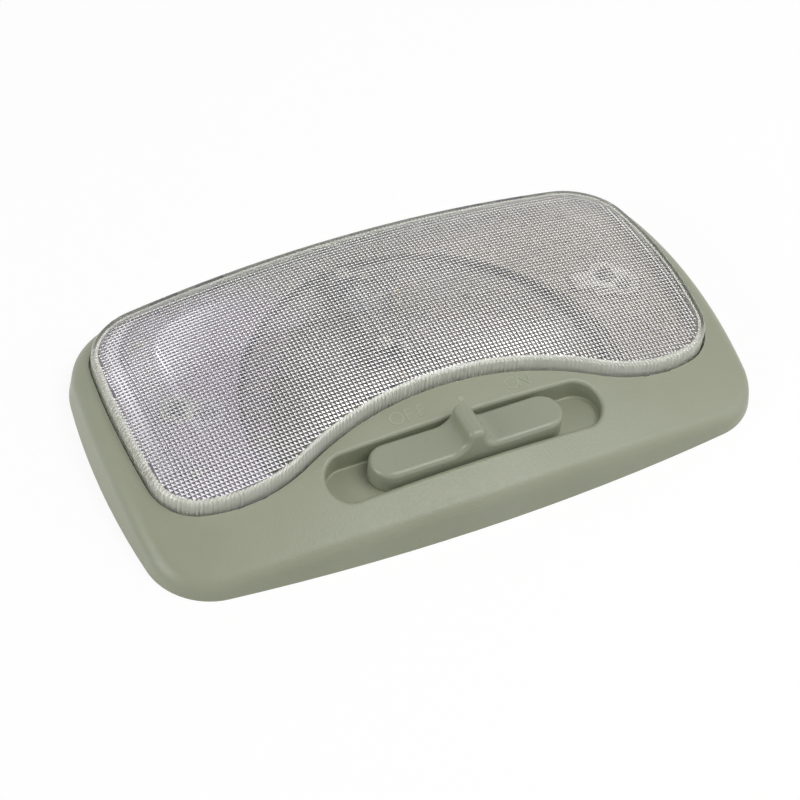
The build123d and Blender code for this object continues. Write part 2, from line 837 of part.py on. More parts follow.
# Filament: two stiff leads with a close coil between them
filament_end = neck_end - glass_wall - part_fit
with BuildPart() as filament:
    with BuildSketch(bulb_plane):
        with BuildLine():
            Polyline(
                (-filament_end, 0),
                (-filament_end, filament_radius),
                (-filament_coil_length / 2, filament_radius),
                (-filament_coil_length / 2, filament_coil),
                (filament_coil_length / 2, filament_coil),
                (filament_coil_length / 2, filament_radius),
                (filament_end, filament_radius),
                (filament_end, 0),
                close=True,
            )
        make_face()
    revolve(axis=bulb_axis)
filament.part.label = "filament"
export_step(filament.part, "parts/filament.step")

# Reflector: flat sheet inside the lens, pressed down into a half-round dish under the bulb
reflector_plan = lens_outline(lens_wall + sheet_gap)
dish_limit = lens_outline(lens_wall + sheet_gap + dish_margin)
post_places = []
for side in (-1, 1):
    post_places.append((side * (lens_end - post_rear_inset), lens_rear - post_from_rear))
    post_places.append((side * (lens_end - post_front_inset), lobe_front + post_from_lobe))
boss_places = [(-screw_x, screw_row), (screw_x, screw_row)]


def dish_outline(spread):
    """The part of a disc that lies inside the sheet's margin."""
    with BuildSketch() as plan:
        add(dish_limit)
        with Locations((0, dish_middle)):
            Circle(dish_radius + spread, mode=Mode.INTERSECT)
    return plan.sketch


dish_inside = dish_outline(0)
dish_outside = dish_outline(sheet)
with BuildPart() as reflector:
    with BuildSketch(Plane.XY.offset(sheet_top - sheet)):
        add(reflector_plan)
    extrude(amount=sheet)
    with BuildSketch(Plane.XY.offset(sheet_top)):
        add(dish_outside)
    extrude(amount=-dish_depth - sheet, taper=dish_slope)
    with BuildSketch(Plane.XY.offset(sheet_top)):
        add(dish_inside)
    extrude(amount=-dish_depth, taper=dish_slope, mode=Mode.SUBTRACT)
    with BuildSketch():
        with Locations(*boss_places):
            Circle(boss_diameter / 2 + part_fit)
        with Locations(*post_places):
            Circle(peg_diameter / 2 + part_fit)
        with Locations(*clip_rivet_places):
            Rectangle(2 * clip_reach + clip_thickness + 2 * clip_window, clip_width + 2 * clip_window)
        with Locations((earth_column, screw_row)):
            Rectangle(bus_thickness + 2 * strap_window, strap_width + 2 * strap_window)
    extrude(amount=bezel_top, mode=Mode.SUBTRACT)
reflector.part.label = "reflector"
export_step(reflector.part, "parts/reflector.step")

# Connector shell: socket through the base plate, open downwards, with the blades let in through its roof
with BuildPart() as connector_shell:
    with BuildSketch(Plane((socket_x, socket_y, socket_mouth))):
        Rectangle(socket_wide + 2 * socket_wall, socket_long + 2 * socket_wall)
    extrude(amount=socket_top - socket_mouth)
    with BuildSketch(Plane((socket_x, socket_y, plate_top))):
        Rectangle(
            socket_wide + 2 * (socket_wall + socket_flange),
            socket_long + 2 * (socket_wall + socket_flange),
        )
    extrude(amount=socket_flange_thickness)
    with BuildSketch(Plane((socket_x, socket_y, socket_mouth))):
        Rectangle(socket_wide, socket_long)
    extrude(amount=socket_top - socket_mouth - socket_wall, mode=Mode.SUBTRACT)
    with BuildSketch(Plane((socket_x, socket_y, socket_mouth))):
        with Locations((0, -blade_spread / 2), (0, blade_spread / 2)):
            Rectangle(bus_thickness + 2 * part_fit, bus_width + 2 * part_fit)
    extrude(amount=socket_top, mode=Mode.SUBTRACT)
connector_shell.part.label = "connector_shell"
export_step(connector_shell.part, "parts/connector_shell.step")

# Base plate: closes the back, with screw bosses, posts for the reflector and a window for the socket
plate_inset = bezel_wall + plate_gap + plate_bottom * tan(radians(bezel_draft))
plate_plan = bezel_outline(plate_inset)
with BuildPart() as base_plate:
    with BuildSketch(Plane.XY.offset(plate_bottom)):
        add(plate_plan)
    extrude(amount=plate_thickness, taper=bezel_draft)
    with BuildSketch(Plane.XY.offset(plate_bottom)):
        with Locations(*boss_places):
            Circle(boss_diameter / 2)
    extrude(amount=boss_top - plate_bottom)
    with BuildSketch(Plane.XY.offset(plate_bottom)):
        with Locations(*post_places):
            Circle(post_diameter / 2)
    extrude(amount=sheet_top - sheet - plate_bottom)
    with BuildSketch(Plane.XY.offset(plate_bottom)):
        with Locations(*post_places):
            Circle(peg_diameter / 2)
    extrude(amount=sheet_top + peg_height - plate_bottom)
    with BuildSketch():
        with Locations(*boss_places):
            Circle(screw_hole / 2)
        with Locations(*bus_rivet_places, *clip_rivet_places):
            Circle(rivet_shank + part_fit)
        with Locations((socket_x, socket_y)):
            Rectangle(
                socket_wide + 2 * (socket_wall + part_fit),
                socket_long + 2 * (socket_wall + part_fit),
            )
    extrude(amount=bezel_top, mode=Mode.SUBTRACT)
base_plate.part.label = "base_plate"
export_step(base_plate.part, "parts/base_plate.step")
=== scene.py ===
from math import cos, pi, radians, sin, sqrt

import bpy
import bmesh
from mathutils import Matrix, Vector
from mathutils.geometry import intersect_sphere_sphere_2d


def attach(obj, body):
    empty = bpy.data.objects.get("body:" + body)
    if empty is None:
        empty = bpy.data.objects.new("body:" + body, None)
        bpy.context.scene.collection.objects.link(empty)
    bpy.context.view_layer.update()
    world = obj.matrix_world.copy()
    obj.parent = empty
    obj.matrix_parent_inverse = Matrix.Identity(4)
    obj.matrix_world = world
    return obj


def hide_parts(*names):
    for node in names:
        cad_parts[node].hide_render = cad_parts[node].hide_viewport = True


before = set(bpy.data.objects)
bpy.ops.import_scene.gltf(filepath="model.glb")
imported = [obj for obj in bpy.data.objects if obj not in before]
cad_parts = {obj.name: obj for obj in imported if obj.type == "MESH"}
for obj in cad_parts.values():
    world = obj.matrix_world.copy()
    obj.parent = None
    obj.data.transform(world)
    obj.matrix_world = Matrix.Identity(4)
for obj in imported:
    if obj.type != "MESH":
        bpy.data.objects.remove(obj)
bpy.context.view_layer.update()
# All named sizes below are in millimetres, and MM turns them to Blender's metres
MM = 0.001
scene = bpy.context.scene


# Materials

def srgb(code):
    """A hex sRGB colour as linear red, green and blue, with full alpha."""
    parts = [int(code[i:i + 2], 16) / 255 for i in (1, 3, 5)]
    return tuple(c / 12.92 if c <= 0.04045 else ((c + 0.055) / 1.055) ** 2.4 for c in parts) + (1.0,)


def per_mm(size):
    """The texture scale that makes one cell so many millimetres wide."""
    return 1 / (size * MM)


def new_material(name):
    """An empty node material, and its tree."""
    finish = bpy.data.materials.new(name)
    finish.use_nodes = True
    finish.node_tree.nodes.clear()
    return finish, finish.node_tree


def node(tree, kind, inputs=(), stops=(), **settings):
    """Adds a node with its settings, its inputs by name or number, and a ramp's places and hex colours."""
    added = tree.nodes.new(kind)
    for key, value in settings.items():
        setattr(added, key, value)
    for key, value in dict(inputs).items():
        if isinstance(value, bpy.types.NodeSocket):
            tree.links.new(value, added.inputs[key])
        else:
            added.inputs[key].default_value = value
    # A new ramp has two stops
    for further in stops[2:]:
        added.color_ramp.elements.new(0.5)
    for i, (place, code) in enumerate(stops):
        added.color_ramp.elements[i].position = place
        added.color_ramp.elements[i].color = srgb(code)
    return added


# How wide the soft changes of tone are on each material
abs_cloud = 26.0
nylon_cloud = 14.0
zinc_cloud = 24.0
# The mould's grain and peel and the strips' streaks are really finer than a tenth of a millimetre:
# they are drawn as coarse as they need to be to show
abs_grain_height = 0.1
nylon_peel = 0.8
nylon_peel_height = 0.05
streak_height = 0.03

abs_ior = 1.53
nylon_ior = 1.5
acrylic_ior = 1.49
glass_ior = 1.52


def sage_abs(name, low, mid, high, roughness, grain_width, grain):
    """Moulded ABS in sage green: the mould's grain spreads the light, and the tone is a little uneven."""
    finish, tree = new_material(name)
    place = node(tree, "ShaderNodeTexCoord").outputs["Object"]
    cloud = node(tree, "ShaderNodeTexNoise", {"Vector": place, "Scale": per_mm(abs_cloud), "Detail": 3.0})
    tones = [(0.3, low), (0.5, mid), (0.7, high)]
    colour = node(tree, "ShaderNodeValToRGB", {0: cloud.outputs["Fac"]}, tones)
    cells = node(tree, "ShaderNodeTexNoise", {"Vector": place, "Scale": per_mm(grain_width), "Detail": 2.0})
    bump = node(tree, "ShaderNodeBump", {
        "Height": cells.outputs["Fac"], "Strength": grain, "Distance": abs_grain_height * MM,
    })
    rough = node(tree, "ShaderNodeMapRange", {
        "Value": cells.outputs["Fac"], "From Min": 0.3, "From Max": 0.7,
        "To Min": roughness - 0.05, "To Max": roughness + 0.05,
    })
    shader = node(tree, "ShaderNodeBsdfPrincipled", {
        "Base Color": colour.outputs["Color"], "Roughness": rough.outputs["Result"],
        "IOR": abs_ior, "Normal": bump.outputs["Normal"],
    })
    node(tree, "ShaderNodeOutputMaterial", {"Surface": shader.outputs["BSDF"]})
    return finish


def plain_moulding(name, low, high, roughness):
    """Moulded nylon or polyester: satin, with soft flow clouds and a faint orange peel."""
    finish, tree = new_material(name)
    place = node(tree, "ShaderNodeTexCoord").outputs["Object"]
    cloud = node(tree, "ShaderNodeTexNoise", {"Vector": place, "Scale": per_mm(nylon_cloud), "Detail": 3.0})
    colour = node(tree, "ShaderNodeValToRGB", {0: cloud.outputs["Fac"]}, [(0.35, low), (0.65, high)])
    peel = node(tree, "ShaderNodeTexNoise", {"Vector": place, "Scale": per_mm(nylon_peel), "Detail": 1.0})
    bump = node(tree, "ShaderNodeBump", {
        "Height": peel.outputs["Fac"], "Strength": 0.15, "Distance": nylon_peel_height * MM,
    })
    shader = node(tree, "ShaderNodeBsdfPrincipled", {
        "Base Color": colour.outputs["Color"], "Roughness": roughness,
        "IOR": nylon_ior, "Normal": bump.outputs["Normal"],
    })
    node(tree, "ShaderNodeOutputMaterial", {"Surface": shader.outputs["BSDF"]})
    return finish


def rolled_metal(name, low, high, roughness, streak_width, stretch):
    """Rolled strip or drawn wire: streaks along its length, in dull and bright bands."""
    finish, tree = new_material(name)
    place = node(tree, "ShaderNodeTexCoord").outputs["Object"]
    turned = node(tree, "ShaderNodeMapping", {"Vector": place, "Scale": stretch})
    streak = node(tree, "ShaderNodeTexNoise", {
        "Vector": turned.outputs["Vector"], "Scale": per_mm(streak_width), "Detail": 4.0,
    })
    colour = node(tree, "ShaderNodeValToRGB", {0: streak.outputs["Fac"]}, [(0.35, low), (0.65, high)])
    rough = node(tree, "ShaderNodeMapRange", {
        "Value": streak.outputs["Fac"], "From Min": 0.3, "From Max": 0.7,
        "To Min": roughness - 0.07, "To Max": roughness + 0.07,
    })
    bump = node(tree, "ShaderNodeBump", {
        "Height": streak.outputs["Fac"], "Strength": 0.12, "Distance": streak_height * MM,
    })
    shader = node(tree, "ShaderNodeBsdfPrincipled", {
        "Base Color": colour.outputs["Color"], "Metallic": 1.0,
        "Roughness": rough.outputs["Result"], "Normal": bump.outputs["Normal"],
    })
    node(tree, "ShaderNodeOutputMaterial", {"Surface": shader.outputs["BSDF"]})
    return finish


# Where the reflector's dish lies, how far its edge is from there, and half the width of the change of tone
# into its painted shade
dish_middle = Vector((0, -15.1, 6))
dish_edge = 45.5
dish_blend = 1.0
# The tone turns from lilac to brown between this place on the left and the middle, with a ragged border; in
# the dish the same change runs through painted shade, darkest at the left
tone_left = -50.0
tone_ragged = 14.0


def zinc_with_painted_shade(name):
    """Zinc plate: lilac at the left, and darker and browner in the pressed dish, where the colour is
    painted shade.
    """
    finish, tree = new_material(name)
    place = node(tree, "ShaderNodeTexCoord").outputs["Object"]
    across = node(tree, "ShaderNodeSeparateXYZ", {"Vector": place}).outputs["X"]
    cloud = node(tree, "ShaderNodeTexNoise", {"Vector": place, "Scale": per_mm(zinc_cloud), "Detail": 2.0})
    shift = node(tree, "ShaderNodeMapRange", {
        "Value": cloud.outputs["Fac"], "To Min": -tone_ragged * MM, "To Max": tone_ragged * MM,
    })
    border = node(tree, "ShaderNodeMath", {0: across, 1: shift.outputs["Result"]}, operation="ADD")
    left_to_middle = node(tree, "ShaderNodeMapRange", {
        "Value": border.outputs["Value"], "From Min": tone_left * MM, "From Max": 0.0,
    })
    flat_tones = [(0.2, "#776b7d"), (0.7, "#867f74")]
    flat = node(tree, "ShaderNodeValToRGB", {0: left_to_middle.outputs["Result"]}, flat_tones)
    # Painted shade in the dish: dark brown at the left, lighter towards the middle
    dish_painted_shade_tones = [(0.1, "#4d463c"), (0.5, "#5e5752"), (0.75, "#726c69"), (1.0, "#7b766d")]
    dish_painted_shade = node(tree, "ShaderNodeValToRGB", {0: left_to_middle.outputs["Result"]}, dish_painted_shade_tones)
    reach = node(tree, "ShaderNodeVectorMath", {0: place, 1: dish_middle * MM}, operation="DISTANCE")
    dish = node(tree, "ShaderNodeMapRange", {
        "Value": reach.outputs["Value"],
        "From Min": (dish_edge + dish_blend) * MM, "From Max": (dish_edge - dish_blend) * MM,
    })
    # A colour mix takes its two colours at sockets 6 and 7, and gives the mixed one at 2
    colour = node(tree, "ShaderNodeMix", {
        0: dish.outputs["Result"], 6: flat.outputs["Color"], 7: dish_painted_shade.outputs["Color"],
    }, data_type="RGBA")
    shader = node(tree, "ShaderNodeBsdfPrincipled", {
        "Base Color": colour.outputs[2], "Metallic": 1.0, "Roughness": 0.45,
    })
    node(tree, "ShaderNodeOutputMaterial", {"Surface": shader.outputs["BSDF"]})
    return finish


def clear_moulding(name, tint, ior, polish, haze):
    """Clear moulded or blown material: polished, and hazy where the mesh's own frost attribute says so."""
    finish, tree = new_material(name)
    frosted = node(tree, "ShaderNodeAttribute", attribute_name="frost").outputs["Fac"]
    rough = node(tree, "ShaderNodeMapRange", {"Value": frosted, "To Min": polish, "To Max": haze})
    shader = node(tree, "ShaderNodeBsdfPrincipled", {
        "Base Color": srgb(tint), "Roughness": rough.outputs["Result"],
        "IOR": ior, "Transmission Weight": 1.0,
    })
    node(tree, "ShaderNodeOutputMaterial", {"Surface": shader.outputs["BSDF"]})
    return finish


def milky_painted_reflection(name, tint, ior, roughness, clearness):
    """A moulding that lets only part of the light through: its pale milky colour is painted reflection, for
    the light that clear fine ridges turn back.
    """
    finish, tree = new_material(name)
    shader = node(tree, "ShaderNodeBsdfPrincipled", {
        "Base Color": srgb(tint), "Roughness": roughness, "IOR": ior, "Transmission Weight": clearness,
    })
    node(tree, "ShaderNodeOutputMaterial", {"Surface": shader.outputs["BSDF"]})
    return finish


# ABS from a spark-eroded mould: dull sage green, with a fine grain that breaks up the highlights
bezel_abs = sage_abs("moulded_sage_abs", "#999d86", "#9da18a", "#a0a48e", 0.4, 0.7, 0.7)
# The same ABS from a smoother mould: cleaner highlights on the knob's edges
knob_abs = sage_abs("moulded_sage_abs_knob", "#979c86", "#9a9f89", "#9da28c", 0.32, 0.9, 0.08)
# The same ABS where the mould was engraved: the raised marks are smooth, and their paler colour is a
# painted highlight for the light their tops catch
mark_abs_painted_highlight = sage_abs("moulded_sage_abs_mark_painted_highlight", "#a8ad96", "#abb099", "#aeb39d", 0.35, 0.7, 0.1)
# Acrylic from a polished mould: clear and glossy, with a slight haze on the prisms
lens_acrylic = clear_moulding("clear_moulded_acrylic", "#fcfcfd", acrylic_ior, 0.01, 0.08)
# Acrylic moulded in flutes: the edge's milky white is painted reflection, for the light the clear flutes
# turn back, with a breath of the green
flute_acrylic_painted_reflection = milky_painted_reflection("fluted_acrylic_painted_reflection", "#f9faee", acrylic_ior, 0.13, 0.25)
# Blown soda glass: clear and flame-polished
bulb_soda_glass = clear_moulding("clear_blown_soda_glass", "#fafafa", glass_ior, 0.01, 0.1)
# Pressed zinc plate: a dull mirror in lilac and brown, with painted shade in its dish
reflector_zinc = zinc_with_painted_shade("zinc_plate_painted_shade")
# Tinned strip: pale warm grey, streaked along its length
strap_tin = rolled_metal("tinned_strip", "#a29e94", "#aeaaa1", 0.4, 0.3, (0.1, 1.0, 1.0))
# Nickel plate on turned brass: warm grey and smoother than the strips
cap_nickel = rolled_metal("nickel_plated_brass", "#8f8b82", "#a19d94", 0.3, 0.2, (1.0, 0.1, 1.0))
# Drawn tungsten: dark grey, streaked along the wire
wire_tungsten = rolled_metal("drawn_tungsten", "#5c5c5e", "#77777a", 0.4, 0.05, (1.0, 0.2, 1.0))
# Rolled spring steel: plain grey, streaked along the rolling
clip_steel = rolled_metal("rolled_spring_steel", "#858584", "#979796", 0.35, 0.25, (1.0, 0.1, 1.0))
# Stamped brass strip: yellow, with bright streaks
bus_brass = rolled_metal("stamped_brass", "#b08a45", "#c7a25c", 0.3, 0.25, (0.1, 1.0, 1.0))
# Aluminium set over with a punch: pale grey, with marks that run no one way
rivet_aluminium = rolled_metal("set_aluminium", "#b3b3b4", "#c9c9ca", 0.35, 0.3, (1.0, 1.0, 1.0))
# Moulded nylon: grey and satin
plate_nylon = plain_moulding("moulded_nylon_back", "#8d8c85", "#96958e", 0.5)
# Moulded nylon coloured with carbon: near black, with a soft sheen
carrier_nylon = plain_moulding("moulded_black_nylon", "#1d1d1d", "#282828", 0.45)
# Moulded PBT polyester without colour: cream white
socket_pbt = plain_moulding("moulded_natural_pbt", "#dcdacf", "#e6e4db", 0.4)

finishes = {
    "bezel": bezel_abs,
    "switch_knob": knob_abs,
    "lens": lens_acrylic,
    "reflector": reflector_zinc,
    "earth_strap": strap_tin,
    "bulb_glass": bulb_soda_glass,
    "bulb_cap_front": cap_nickel,
    "bulb_cap_rear": cap_nickel,
    "filament": wire_tungsten,
    "base_plate": plate_nylon,
    "bulb_clip_front": clip_steel,
    "bulb_clip_rear": clip_steel,
    "wiper_contact": clip_steel,
    "feed_bus": bus_brass,
    "lamp_bus": bus_brass,
    "door_bus": bus_brass,
    "contact_carrier": carrier_nylon,
    "connector_shell": socket_pbt,
    "bus_rivets": rivet_aluminium,
    "clip_rivets": rivet_aluminium,
}
for name, finish in finishes.items():
    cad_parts[name].data.materials.clear()
    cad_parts[name].data.materials.append(finish)


# Working in Blender

def begin(name):
    """Names the object that an operator has just added, and starts to edit it with nothing selected."""
    obj = bpy.context.object
    obj.name = name
    bpy.ops.object.mode_set(mode="EDIT")
    bpy.ops.mesh.select_all(action="DESELECT")
    return obj


def select_faces(obj, wanted):
    """Selects in edit mode the faces for which a test of centre and normal holds."""
    bpy.ops.mesh.select_mode(type="FACE")
    bpy.ops.mesh.select_all(action="DESELECT")
    mesh = bmesh.from_edit_mesh(obj.data)
    for face in mesh.faces:
        face.select_set(wanted(face.calc_center_median(), face.normal))
    bmesh.update_edit_mesh(obj.data)


def only(obj):
    """Makes one object the only one selected, and active."""
    bpy.ops.object.select_all(action="DESELECT")
    obj.select_set(True)
    bpy.context.view_layer.objects.active = obj


def unite(obj, other):
    """Unites another closed mesh with an object, and drops the other."""
    only(obj)
    union = obj.modifiers.new("union", "BOOLEAN")
    union.operation = "UNION"
    union.solver = "MANIFOLD"
    union.object = other
    bpy.ops.object.modifier_apply(modifier=union.name)
    bpy.data.objects.remove(other)


def merged_copy(node_name, name):
    """A copy of a CAD node with its doubled corners merged, ready to model on."""
    only(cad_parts[node_name])
    bpy.ops.object.duplicate()
    copy = begin(name)
    bpy.ops.mesh.select_all(action="SELECT")
    bpy.ops.mesh.remove_doubles(threshold=0.001 * MM)
    bpy.ops.mesh.customdata_custom_splitnormals_clear()
    bpy.ops.object.mode_set(mode="OBJECT")
    return copy


# Lens: the clear shell, with prisms under its crown and flutes inside its wall

lens_half = 73.3
lens_mid = 10.0
lens_rear = 39.4
lens_wall = 1.8
lens_top = 21.7
crown_x = 374.0
crown_y = 139.0
crown_mid = 3.9

# The outline's edges are bows, each given by its middle and radius, on the right half of the lens
side_bow = 170.0
side_mid = 2.5
rear_bow = 1500.0
lobe_mid = 52.8
lobe_front = -25.7
lobe_bow = 37.0
wave_front = -14.2
wave_bow = 89.96
rear_corner = 15.0
front_corner = 13.0
side_edge = (Vector((lens_half - side_bow, side_mid)), side_bow)
rear_edge = (Vector((0.0, lens_rear - rear_bow)), rear_bow)
lobe_edge = (Vector((lobe_mid, lobe_front + lobe_bow)), lobe_bow)
wave_edge = (Vector((0.0, wave_front - wave_bow)), wave_bow)

prism_pitch = 1.0
prism_depth = 0.42
prism_columns = 144
prism_rows = 66
# The prisms hang from a sheet of this wall, whose lower face lies just clear of the crown's inner face
prism_sheet_wall = 0.6
prism_clear = 0.05
# Prisms start this far inside the flutes
prism_inset = 0.3

flute_pitch = 1.0
flute_depth = 0.35
flute_steps = 3
# The ring of flutes is sunk into the wall's inner face, because a clear polished wall looks dark there; its
# pale colour is painted reflection.
# For each line of its section: how far inside the outline and under the crown it lies, and how much of
# a groove's depth goes inwards and downwards there
flute_section = (
    (1.45, 5.6, 1.0, 0.0),
    (1.45, 1.7, 1.0, 0.0),
    (1.75, 1.35, 0.7, 0.7),
    (2.15, 1.35, 0.0, 1.0),
    (2.15, 5.6, 0.0, 0.0),
)

# How finely the outline is searched
wall_halvings = 24
wall_steps = 3000

# Faces that meet at a smaller angle than this are shaded as one, so prisms keep their edges
lens_smooth = radians(18)


def rounded_corner(edge_a, edge_b, radius):
    """A rounded corner between two bowed edges: its middle, the ways from it to both edges, its radius."""
    (mid_a, bow_a), (mid_b, bow_b) = edge_a, edge_b
    crossings = intersect_sphere_sphere_2d(mid_a, bow_a - radius, mid_b, bow_b - radius)
    middle = max(crossings, key=lambda place: place.x - place.y)
    return middle, middle - mid_a, middle - mid_b, radius


lens_corners = [
    rounded_corner(side_edge, rear_edge, rear_corner),
    rounded_corner(side_edge, lobe_edge, front_corner),
]


def edge_depth(x, y):
    """How far a place in plan lies inside the lens's outline at its foot."""
    place = Vector((abs(x), y))
    for middle, to_a, to_b, radius in lens_corners:
        way = place - middle
        turn = to_a.cross(to_b)
        if way.cross(to_b) / turn > 0 and to_a.cross(way) / turn > 0:
            return radius - way.length
    side = side_edge[1] - (place - side_edge[0]).length
    rear = rear_edge[1] - (place - rear_edge[0]).length
    if (place - wave_edge[0]).cross(lobe_edge[0] - wave_edge[0]) < 0:
        front = (place - wave_edge[0]).length - wave_edge[1]
    else:
        front = lobe_edge[1] - (place - lobe_edge[0]).length
    return min(side, rear, front)


def crown(x, y, under):
    """The height of a face that lies so far under the lens's crown."""
    across = crown_y - sqrt(crown_y**2 - (y - crown_mid) ** 2)
    return lens_top - under - crown_x + sqrt((crown_x - across) ** 2 - x**2)


def wall_place(angle, depth):
    """The place so far inside the outline that lies at an angle from the lens's middle."""
    near = 0.0
    far = lens_half + lens_rear
    for halving in range(wall_halvings):
        reach = (near + far) / 2
        if edge_depth(reach * cos(angle), lens_mid + reach * sin(angle)) > depth:
            near = reach
        else:
            far = reach
    return Vector((near * cos(angle), lens_mid + near * sin(angle)))


def even_angles(pitch):
    """Angles about the lens's middle whose places on the inner wall are about one pitch apart."""
    fine = [i * 2 * pi / wall_steps for i in range(wall_steps)]
    places = [wall_place(angle, lens_wall) for angle in fine]
    steps = [(places[i] - places[i - 1]).length for i in range(len(places))]
    count = round(sum(steps) / pitch)
    angles = []
    walked = 0.0
    for angle, step in zip(fine, steps):
        walked += step
        if walked >= len(angles) * sum(steps) / count:
            angles.append(angle)
    return angles


def prism_sheet():
    """Square pyramids hanging from a thin sheet that is sunk into the crown."""
    bpy.ops.object.select_all(action="DESELECT")
    bpy.ops.mesh.primitive_grid_add(
        x_subdivisions=prism_columns, y_subdivisions=prism_rows, size=1, location=(0, lens_mid * MM / 2, 0)
    )
    bpy.ops.transform.resize(value=(prism_columns * prism_pitch * MM, prism_rows * prism_pitch * MM, 1))
    bpy.ops.object.transform_apply(location=True, rotation=True, scale=True)
    sheet = begin("prism_sheet")
    margin = flute_section[-1][0] + prism_inset
    select_faces(sheet, lambda centre, normal: edge_depth(centre.x / MM, centre.y / MM) < margin)
    bpy.ops.mesh.delete(type="FACE")
    mesh = bmesh.from_edit_mesh(sheet.data)
    for vert in mesh.verts:
        vert.co.z = crown(vert.co.x / MM, vert.co.y / MM, lens_wall + prism_clear) * MM
    bmesh.update_edit_mesh(sheet.data)
    bpy.ops.mesh.select_all(action="SELECT")
    bpy.ops.mesh.extrude_region_move(TRANSFORM_OT_translate={"value": (0, 0, prism_sheet_wall * MM)})
    bpy.ops.mesh.select_all(action="SELECT")
    bpy.ops.mesh.normals_make_consistent(inside=False)
    select_faces(sheet, lambda centre, normal: normal.z < -0.7)
    bpy.ops.mesh.poke(offset=prism_depth * MM)
    bpy.ops.object.mode_set(mode="OBJECT")
    return sheet


def flute_ring():
    """The ridged inner edge of the lens: a ring that turns from the crown down the wall."""
    angles = even_angles(flute_pitch / flute_steps)
    count = len(angles) - len(angles) % flute_steps
    bpy.ops.object.select_all(action="DESELECT")
    bpy.ops.mesh.primitive_circle_add(vertices=count, radius=lens_half * MM)
    bpy.ops.object.transform_apply(location=True, rotation=True, scale=True)
    ring = begin("lens_flutes")
    for further in flute_section[1:]:
        mesh = bmesh.from_edit_mesh(ring.data)
        for edge in mesh.edges:
            edge.select_set(max(vert.index for vert in edge.verts) < count)
        bmesh.update_edit_mesh(ring.data)
        bpy.ops.mesh.duplicate()
        bpy.ops.mesh.select_all(action="DESELECT")
    mesh = bmesh.from_edit_mesh(ring.data)
    for i, vert in enumerate(mesh.verts):
        inward, under, groove_in, groove_down = flute_section[i // count]
        groove = flute_depth if i % flute_steps == 0 else 0
        x, y = wall_place(angles[i % count], inward + groove * groove_in)
        vert.co = (x * MM, y * MM, crown(x, y, under + groove * groove_down) * MM)
    bmesh.update_edit_mesh(ring.data)
    bpy.ops.mesh.select_all(action="SELECT")
    bpy.ops.mesh.bridge_edge_loops(type="CLOSED")
    bpy.ops.mesh.select_all(action="SELECT")
    bpy.ops.mesh.normals_make_consistent(inside=False)
    bpy.ops.object.mode_set(mode="OBJECT")
    return ring


lens_shell = merged_copy("lens", "lens_prismatic")
unite(lens_shell, prism_sheet())
only(lens_shell)
bpy.ops.object.shade_smooth_by_angle(angle=lens_smooth)
# The frost attribute marks the prisms: faces just under the crown that look down
frost = lens_shell.data.attributes.new("frost", "FLOAT", "FACE")
for face in lens_shell.data.polygons:
    x, y, z = face.center / MM
    under_crown = crown(x, y, lens_wall + prism_depth + 0.1) < z < crown(x, y, lens_wall)
    frost.data[face.index].value = float(under_crown and face.normal.z < -0.3)
lens_shell.data.materials.clear()
lens_shell.data.materials.append(lens_acrylic)
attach(lens_shell, "housing")
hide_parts("lens")
flutes = flute_ring()
# The ring's milky white is painted reflection
flutes.data.materials.append(flute_acrylic_painted_reflection)
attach(flutes, "housing")


# Marks: raised letters and a dot on the bezel's face, behind the switch

bezel_top = 18.2
bezel_crown_x = 395.0
bezel_crown_y = 122.0
mark_row = -19.2
mark_height = 3.4
mark_rise = 0.09
# The marks start this far under the bezel's crowned face, so that no gap shows
mark_sink = 0.15
# Blender's own type has capitals of this share of its size, and its strokes are thinned on each side
capital_share = 0.69
stroke_thinning = 0.06
dot_radius = 0.7
dot_place = 2.7
dot_round = 0.05


def bezel_face(x, y):
    """The height of the bezel's crowned face, and the way that it faces."""
    across = bezel_crown_y - sqrt(bezel_crown_y**2 - (y - crown_mid) ** 2)
    height = bezel_top - bezel_crown_x + sqrt((bezel_crown_x - across) ** 2 - x**2)
    return height, Vector((x / bezel_crown_x, (y - crown_mid) / bezel_crown_y, 1)).normalized()


def put_on_face(obj, x, y):
    """Lays a mark that was made at the origin onto the bezel's face."""
    height, facing = bezel_face(x, y)
    side = Vector((1, 0, 0)) - facing * facing.x
    side.normalize()
    turn = Matrix((side, facing.cross(side), facing)).transposed().to_4x4()
    seat = Vector((x, y, height)) * MM - facing * mark_sink * MM
    obj.matrix_world = Matrix.Translation(seat) @ turn
    only(obj)
    bpy.ops.object.transform_apply(location=True, rotation=True, scale=True)
    # The marks take the paler ABS, whose colour is a painted highlight
    obj.data.materials.clear()
    obj.data.materials.append(mark_abs_painted_highlight)
    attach(obj, "housing")


def letter(name, sign, x, y):
    """One raised letter, drawn thin."""
    bpy.ops.object.select_all(action="DESELECT")
    bpy.ops.object.text_add()
    mark = bpy.context.object
    mark.name = name
    mark.data.body = sign
    mark.data.size = mark_height * MM / capital_share
    mark.data.align_x = "CENTER"
    mark.data.align_y = "CENTER"
    mark.data.offset = -stroke_thinning * MM
    mark.data.extrude = (mark_rise + mark_sink) * MM
    bpy.ops.object.convert(target="MESH")
    put_on_face(bpy.context.object, x, y)


for name, sign, place in (
    ("mark_off_o", "O", -13.8),
    ("mark_off_first_f", "F", -10.7),
    ("mark_off_second_f", "F", -7.6),
    ("mark_on_o", "O", 16.2),
    ("mark_on_n", "N", 19.4),
):
    letter(name, sign, place, mark_row)
bpy.ops.object.select_all(action="DESELECT")
bpy.ops.mesh.primitive_cylinder_add(
    vertices=32, radius=dot_radius * MM, depth=2 * (mark_rise + mark_sink) * MM
)
dot = begin("mark_dot")
select_faces(dot, lambda centre, normal: normal.z > 0.9)
bpy.ops.mesh.bevel(offset=dot_round * MM, segments=2, affect="EDGES")
bpy.ops.object.mode_set(mode="OBJECT")
put_on_face(dot, dot_place, mark_row)


# Floor, light and camera

floor_glow = 1.04
floor_glow_share = 0.86
# A grey sheet of painted shade under the lamp, clear of the floor: it is dark there, which shows through
# the screw holes
shade_length = 140.0
shade_depth = 70.0
shade_lift = 0.1
sky_strength = 0.18


